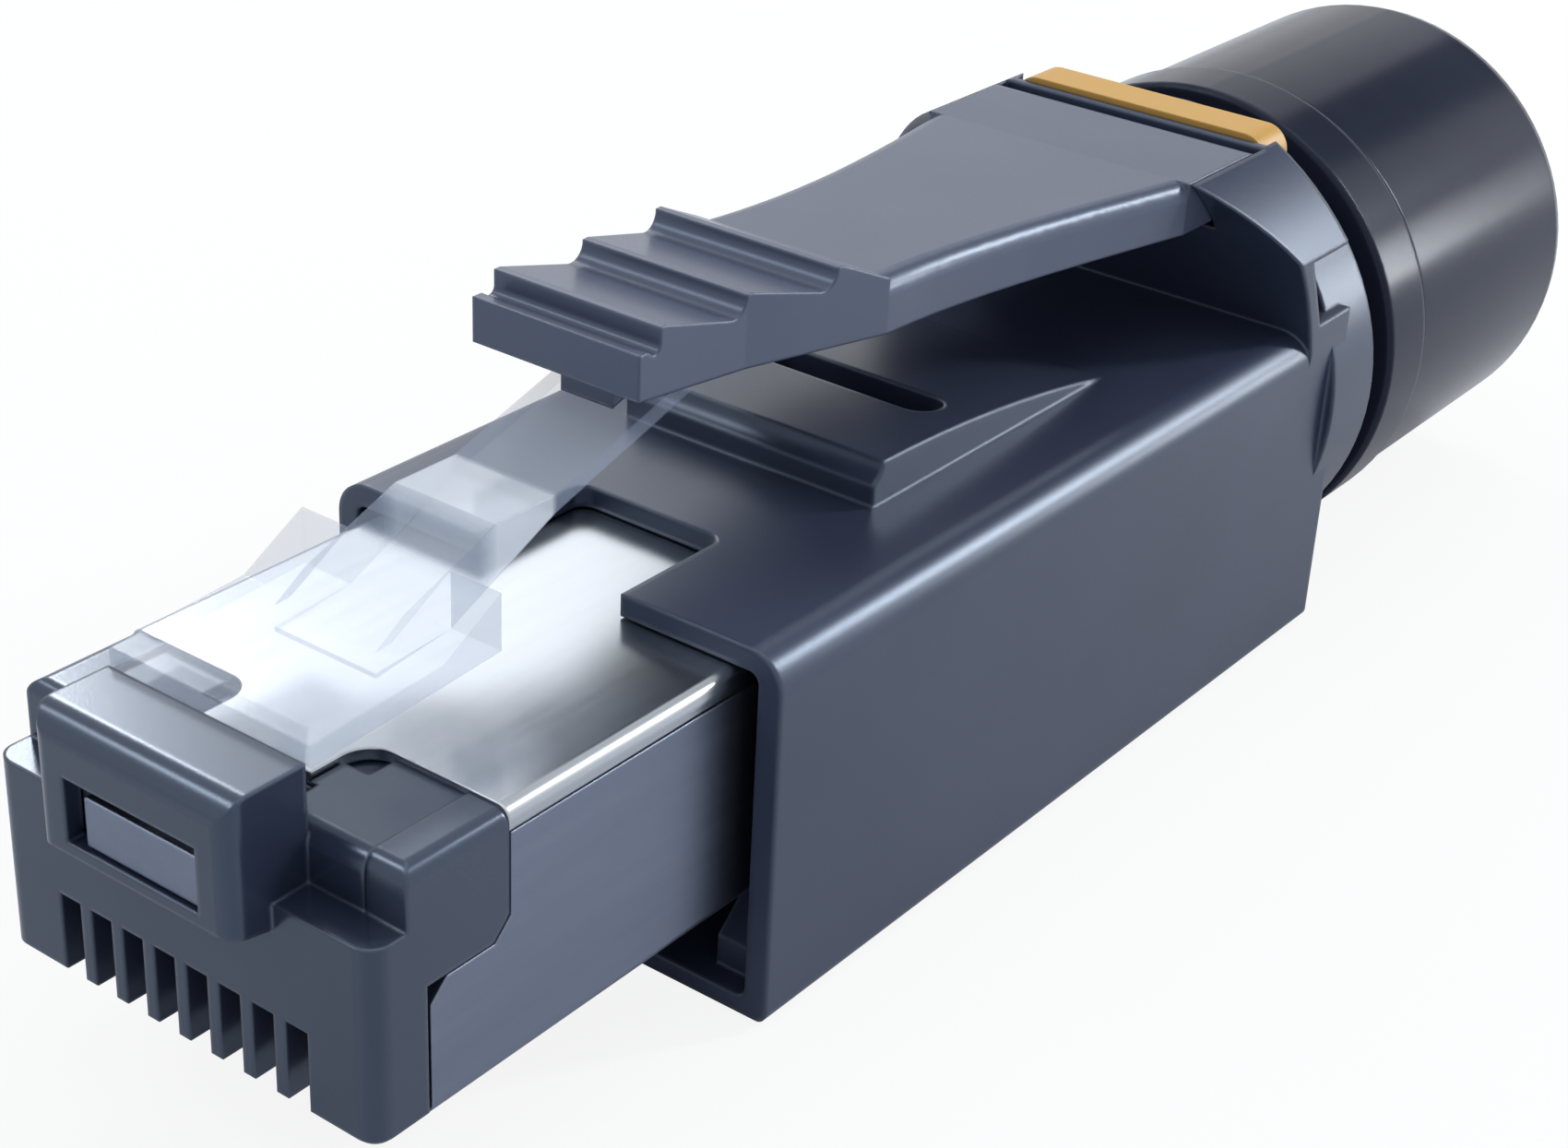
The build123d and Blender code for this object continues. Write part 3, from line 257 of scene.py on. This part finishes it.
# Latch: moulded in one with its barbs from clear polycarbonate, thin enough to spring. It has a
# slight milky haze, which is thicker where a face is seen edge-on.
flow_scale = 450.0
clear_low, clear_high = (0.47, 0.55, 0.69, 1), (0.55, 0.63, 0.76, 1)
upright_painted_shade_tone, upright_haze = (0.34, 0.42, 0.56, 1), 0.10
lying_normal, upright_normal = 0.85, 0.15
land_tone, land_haze = (0.78, 0.84, 0.92, 1), 0.28
land_front, land_front_full = -0.0193, -0.0186
land_rear, land_rear_full = -0.0166, -0.0168
smooth, rough = 0.08, 0.18
face_on_haze, edge_on_haze, haze_blend = 0.07, 0.42, 0.35
latch_rounding = 0.0001
clear = bpy.data.materials.new("clear_polycarbonate")
clear.use_nodes = True
nodes, links = clear.node_tree.nodes, clear.node_tree.links
shader = nodes["Principled BSDF"]
shader.inputs["IOR"].default_value = 1.5
place = nodes.new("ShaderNodeTexCoord")
flow = nodes.new("ShaderNodeTexNoise")
flow.inputs["Scale"].default_value = flow_scale
links.new(place.outputs["Object"], flow.inputs["Vector"])
tone = nodes.new("ShaderNodeValToRGB")
tone.color_ramp.elements[0].color = clear_low
tone.color_ramp.elements[1].color = clear_high
links.new(flow.outputs["Fac"], tone.inputs["Fac"])
# Upright faces are painted bluer and darker than the flat ones as painted shade, and take more haze
lie = nodes.new("ShaderNodeNewGeometry")
split = nodes.new("ShaderNodeSeparateXYZ")
links.new(lie.outputs["Normal"], split.inputs["Vector"])
upright = nodes.new("ShaderNodeMapRange")
upright.inputs["From Min"].default_value = lying_normal
upright.inputs["From Max"].default_value = upright_normal
links.new(split.outputs["Z"], upright.inputs["Value"])
blend = nodes.new("ShaderNodeMix")
blend.data_type = "RGBA"
links.new(upright.outputs["Result"], blend.inputs["Factor"])
links.new(tone.outputs["Color"], blend.inputs["A"])
blend.inputs["B"].default_value = upright_painted_shade_tone
# Milky land behind the step: a band along the plug is given a lighter tone and more haze
along = nodes.new("ShaderNodeSeparateXYZ")
links.new(place.outputs["Object"], along.inputs["Vector"])
land = nodes.new("ShaderNodeMath")
land.operation = "MULTIPLY"
for end, (clear_at, milky_at) in enumerate(((land_front, land_front_full), (land_rear, land_rear_full))):
    fade = nodes.new("ShaderNodeMapRange")
    fade.inputs["From Min"].default_value = clear_at
    fade.inputs["From Max"].default_value = milky_at
    links.new(along.outputs["Y"], fade.inputs["Value"])
    links.new(fade.outputs["Result"], land.inputs[end])
land_blend = nodes.new("ShaderNodeMix")
land_blend.data_type = "RGBA"
links.new(land.outputs["Value"], land_blend.inputs["Factor"])
links.new(blend.outputs["Result"], land_blend.inputs["A"])
land_blend.inputs["B"].default_value = land_tone
links.new(land_blend.outputs["Result"], shader.inputs["Base Color"])
gloss = nodes.new("ShaderNodeMapRange")
gloss.inputs["To Min"].default_value = smooth
gloss.inputs["To Max"].default_value = rough
links.new(flow.outputs["Fac"], gloss.inputs["Value"])
links.new(gloss.outputs["Result"], shader.inputs["Roughness"])
# Haze: thin face-on, thick edge-on, with more of it in the upright faces and in the land
veil = nodes.new("ShaderNodeLayerWeight")
veil.inputs["Blend"].default_value = haze_blend
haze = nodes.new("ShaderNodeMapRange")
haze.inputs["To Min"].default_value = face_on_haze
haze.inputs["To Max"].default_value = edge_on_haze
links.new(veil.outputs["Facing"], haze.inputs["Value"])
thick = nodes.new("ShaderNodeMath")
thick.operation = "MULTIPLY_ADD"
thick.inputs[1].default_value = upright_haze
links.new(upright.outputs["Result"], thick.inputs[0])
links.new(haze.outputs["Result"], thick.inputs[2])
milk = nodes.new("ShaderNodeMath")
milk.operation = "MULTIPLY_ADD"
milk.inputs[1].default_value = land_haze
links.new(land.outputs["Value"], milk.inputs[0])
links.new(thick.outputs["Value"], milk.inputs[2])
links.new(milk.outputs["Value"], shader.inputs["Alpha"])
links.new(round_edges(clear, latch_rounding), shader.inputs["Normal"])
dress(["latch"], clear)


# Housing: the rectangular sleeve with its raised deck, U notch, collar and round neck, one hollow
# moulding of the black polyamide. It slides over the shielded insert, and its large faces are a
# little coarser than the nose.
dress(["housing"], black_polyamide(
    "black_housing_polyamide", low=(0.023, 0.029, 0.053, 1), high=(0.031, 0.038, 0.068, 1),
    grain=14000.0, pit_depth=0.000008, roughness=0.32, edge_radius=0.00020, gloss_level=0.6))


# Release lever: thumb lever of the same black polyamide with stepped ribs over the latch. It
# hinges at the collar, and its skin is painted greyer than the housing's as painted light.
dress(["release_lever"], black_polyamide(
    "black_lever_polyamide", low=(0.056, 0.067, 0.104, 1), high=(0.068, 0.080, 0.124, 1),
    grain=14000.0, pit_depth=0.000008, roughness=0.30, edge_radius=0.00012, gloss_level=0.5))


# Colour clip: coding clip of ochre plastic that marks the line. It is pressed on top of the
# collar, with its legs in holes of the neck.
ochre = fine_skin(
    "ochre_plastic", low=(0.44, 0.243, 0.044, 1), high=(0.50, 0.280, 0.055, 1),
    grain=2500.0, smooth=0.38, rough=0.5)
clip_rounding = 0.00008
shader = ochre.node_tree.nodes["Principled BSDF"]
ochre.node_tree.links.new(round_edges(ochre, clip_rounding), shader.inputs["Normal"])
dress(["colour_clip"], ochre)


# Seal ring and cable seal: moulded from black sealing rubber, dull and faintly dusty. The ring is
# stretched into the groove behind the neck, and the nut squeezes the seal onto the cable.
dress(["seal_ring", "cable_seal"], fine_skin(
    "sealing_rubber", low=(0.010, 0.010, 0.012, 1), high=(0.022, 0.022, 0.025, 1),
    grain=3000.0, smooth=0.6, rough=0.72))


# Clamp cage and thrust ring: natural acetal, a slippery plastic without colour. The cage's fingers
# close on the cable when the nut pushes the ring against them.
dress(["clamp_cage", "thrust_ring"], fine_skin(
    "natural_acetal", low=(0.62, 0.60, 0.54, 1), high=(0.70, 0.68, 0.62, 1),
    grain=3500.0, smooth=0.30, rough=0.40))


# Gland body and nut: black polyamide from polished moulds, smoother than the housing and painted
# darker than it as painted shade. The body's spigot sits in the collar, and the cap nut screws onto its
# sleeve.
dress(["gland_body", "gland_nut"], black_polyamide(
    "black_gland_polyamide", low=(0.014, 0.017, 0.030, 1), high=(0.020, 0.024, 0.040, 1),
    grain=16000.0, pit_depth=0.000006, roughness=0.20, edge_radius=0.00022, gloss_level=0.12))


# Floor: plain white board that the plug lies on. The camera sees it almost white, and the plug's
# shadow stays on it.
def studio_board(name, width, depth, tip, place):
    sheet = bmesh.new()
    bmesh.ops.create_grid(sheet, x_segments=1, y_segments=1, size=0.5)
    bmesh.ops.scale(sheet, vec=(width, depth, 1), verts=sheet.verts)
    bmesh.ops.rotate(sheet, cent=(0, 0, 0), matrix=Matrix.Rotation(tip, 3, "X"), verts=sheet.verts)
    bmesh.ops.translate(sheet, vec=place, verts=sheet.verts)
    mesh = bpy.data.meshes.new(name)
    sheet.to_mesh(mesh)
    sheet.free()
    board = bpy.data.objects.new(name, mesh)
    bpy.context.collection.objects.link(board)
    return board


floor_size = 3.0
white_share = 0.88
floor = studio_board("white_board", width=floor_size, depth=floor_size, tip=0, place=(0, 0, 0))
paper = bpy.data.materials.new("white_board")
paper.use_nodes = True
nodes, links = paper.node_tree.nodes, paper.node_tree.links
shader = nodes["Principled BSDF"]
shader.inputs["Base Color"].default_value = (0.72, 0.73, 0.75, 1)
shader.inputs["Roughness"].default_value = 0.9
glow = nodes.new("ShaderNodeEmission")
glow.inputs["Color"].default_value = (1, 1, 1, 1)
glow.inputs["Strength"].default_value = 1.0
rays = nodes.new("ShaderNodeLightPath")
share = nodes.new("ShaderNodeMath")
share.operation = "MULTIPLY"
share.inputs[1].default_value = white_share
links.new(rays.outputs["Is Camera Ray"], share.inputs[0])
blend = nodes.new("ShaderNodeMixShader")
links.new(share.outputs["Value"], blend.inputs["Fac"])
links.new(shader.outputs["BSDF"], blend.inputs[1])
links.new(glow.outputs["Emission"], blend.inputs[2])
links.new(blend.outputs["Shader"], nodes["Material Output"].inputs["Surface"])
floor.data.materials.append(paper)


# Dark flag: card with black felt on a stand behind the plug. It only mirrors in the glossy skins,
# where it makes the dark band along the nut, and it takes no light from the plug and casts no
# shadow on it.
flag_tip = radians(100.305)
flag = studio_board("dark_flag", width=0.14, depth=0.22361, tip=flag_tip, place=(0.02, 0.36, 0.25))
felt = bpy.data.materials.new("dark_flag")
felt.use_nodes = True
felt.node_tree.nodes["Principled BSDF"].inputs["Base Color"].default_value = (0.01, 0.01, 0.012, 1)
flag.data.materials.append(felt)
flag.visible_camera = False
flag.visible_shadow = False
flag.visible_diffuse = False


# Studio: soft, slightly cool room light, white where the camera or a mirroring skin looks past the
# board, and six soft boxes that are placed where their mirror images lie along the plug's edges.
room_tone, room_light = (0.86, 0.92, 1.0, 1), 0.6
world = bpy.data.worlds.new("studio")
bpy.context.scene.world = world
world.use_nodes = True
nodes, links = world.node_tree.nodes, world.node_tree.links
room = nodes["Background"]
room.inputs["Color"].default_value = room_tone
room.inputs["Strength"].default_value = room_light
backdrop = nodes.new("ShaderNodeBackground")
backdrop.inputs["Color"].default_value = (1, 1, 1, 1)
backdrop.inputs["Strength"].default_value = 1.0
rays = nodes.new("ShaderNodeLightPath")
seen = nodes.new("ShaderNodeMath")
seen.operation = "MAXIMUM"
links.new(rays.outputs["Is Camera Ray"], seen.inputs[0])
links.new(rays.outputs["Is Glossy Ray"], seen.inputs[1])
blend = nodes.new("ShaderNodeMixShader")
links.new(seen.outputs["Value"], blend.inputs["Fac"])
links.new(room.outputs["Background"], blend.inputs[1])
links.new(backdrop.outputs["Background"], blend.inputs[2])
links.new(blend.outputs["Shader"], nodes["World Output"].inputs["Surface"])


def soft_box(name, place, aim, size, watts):
    lamp = bpy.data.lights.new(name, "AREA")
    lamp.shape = "RECTANGLE"
    lamp.size, lamp.size_y = size
    lamp.energy = watts
    stand = bpy.data.objects.new(name, lamp)
    stand.location = place
    stand.rotation_euler = (Vector(aim) - Vector(place)).to_track_quat("-Z", "Y").to_euler()
    bpy.context.collection.objects.link(stand)


soft_box(
    "soft_box_top", place=(0, 0.02, 0.40), aim=(0, 0.005, 0.01), size=(0.34, 0.34), watts=0.38)
soft_box(
    "soft_box_back_left", place=(-0.28, 0.22, 0.22), aim=(0, -0.01, 0.01), size=(0.16, 0.14), watts=0.10)
soft_box(
    "soft_box_back_right", place=(0.19, 0.28, 0.20), aim=(0, 0.01, 0.01), size=(0.04, 0.14), watts=0.85)
soft_box(
    "soft_box_left", place=(-0.25, 0.14, 0.20), aim=(0, -0.01, 0.01), size=(0.03, 0.10), watts=0.17)
soft_box(
    "soft_box_rear", place=(0.195, 0.31, 0.055), aim=(0, 0.02, 0.008), size=(0.02, 0.08), watts=0.22)
soft_box(
    "soft_box_front_left", place=(-0.20, -0.18, 0.28), aim=(0, -0.01, 0.008), size=(0.20, 0.05), watts=0.3)


# Camera: at the photograph's place and turn, over the right-hand side of the contact nose. Its
# directions are unit vectors in the plug's frame, and its field of view is the photograph's.
camera_place = (0.039217, -0.059528, 0.041779)
across = Vector((0.79343, 0.60699, 0.04497))
ahead = Vector((-0.51910, 0.71342, -0.47071)).normalized()
above = across.cross(ahead).normalized()
across = ahead.cross(above)
lens = bpy.data.cameras.new("camera")
lens.sensor_width = 36.0
lens.lens = 64.59
lens.clip_start = 0.001
camera = bpy.data.objects.new("camera", lens)
turn = Matrix((across, above, -ahead)).transposed()
camera.matrix_world = Matrix.Translation(camera_place) @ turn.to_4x4()
bpy.context.collection.objects.link(camera)
bpy.context.scene.camera = camera
bpy.context.scene.view_settings.view_transform = "Standard"
